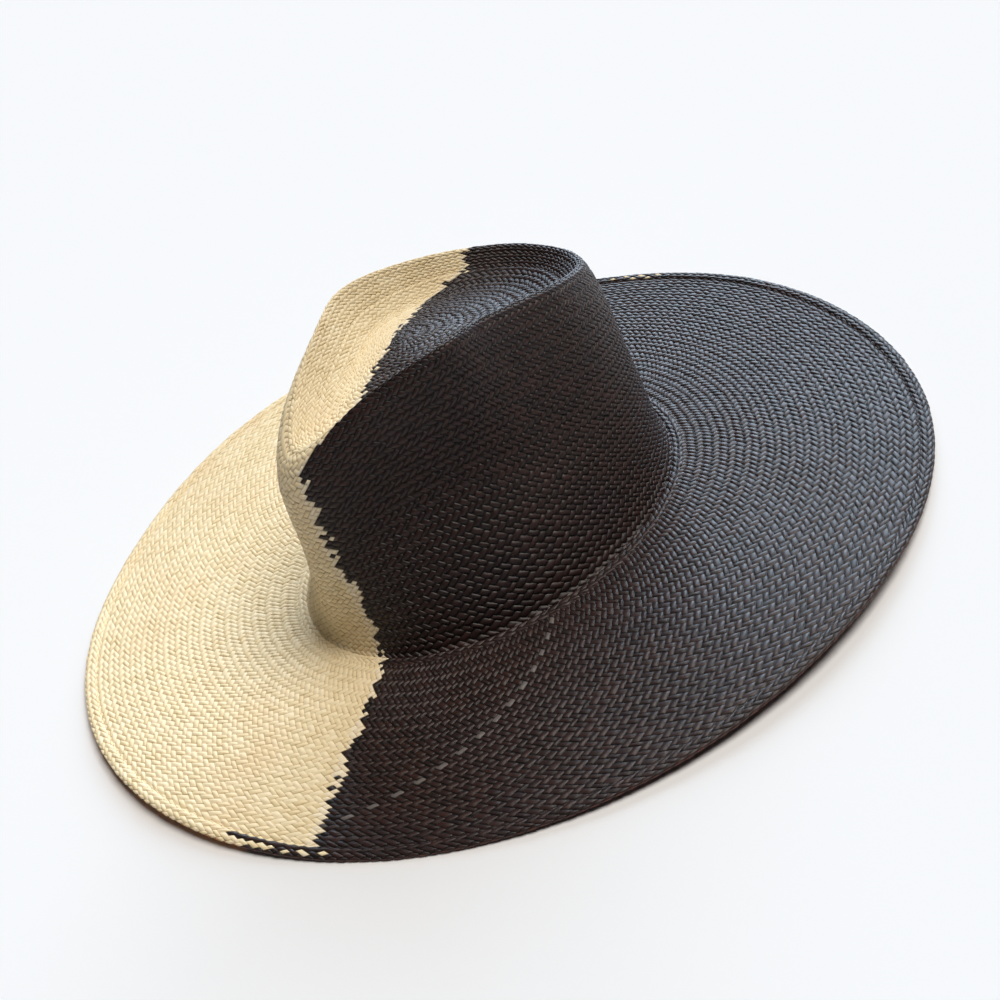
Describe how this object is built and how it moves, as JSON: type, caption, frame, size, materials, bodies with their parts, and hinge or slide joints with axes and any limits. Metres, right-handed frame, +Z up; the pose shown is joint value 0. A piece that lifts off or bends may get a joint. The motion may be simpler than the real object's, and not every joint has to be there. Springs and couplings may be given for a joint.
{
  "type": "straw hat",
  "caption": "Wide-brimmed woven straw hat with a pinched teardrop crown, one half natural straw and the other black, split by a stepped line across crown and brim",
  "frame": {"origin": "middle of the hat's outline at floor level", "axes": "-Y is the front of the hat, +X the wearer's left, +Z up"},
  "size_m": [0.4316, 0.4338, 0.1286],
  "materials": {
    "natural_straw": "woven palm straw, matt with a faint waxy sheen",
    "black_straw": "dyed woven palm straw, dark with a soft cool sheen"
  },
  "bodies": {
    "root": {"crown_natural": "natural_straw", "crown_black": "black_straw", "brim_natural": "natural_straw", "brim_black": "black_straw", "edge_braid_natural": "natural_straw", "edge_braid_black": "black_straw"}
  },
  "joints": []
}
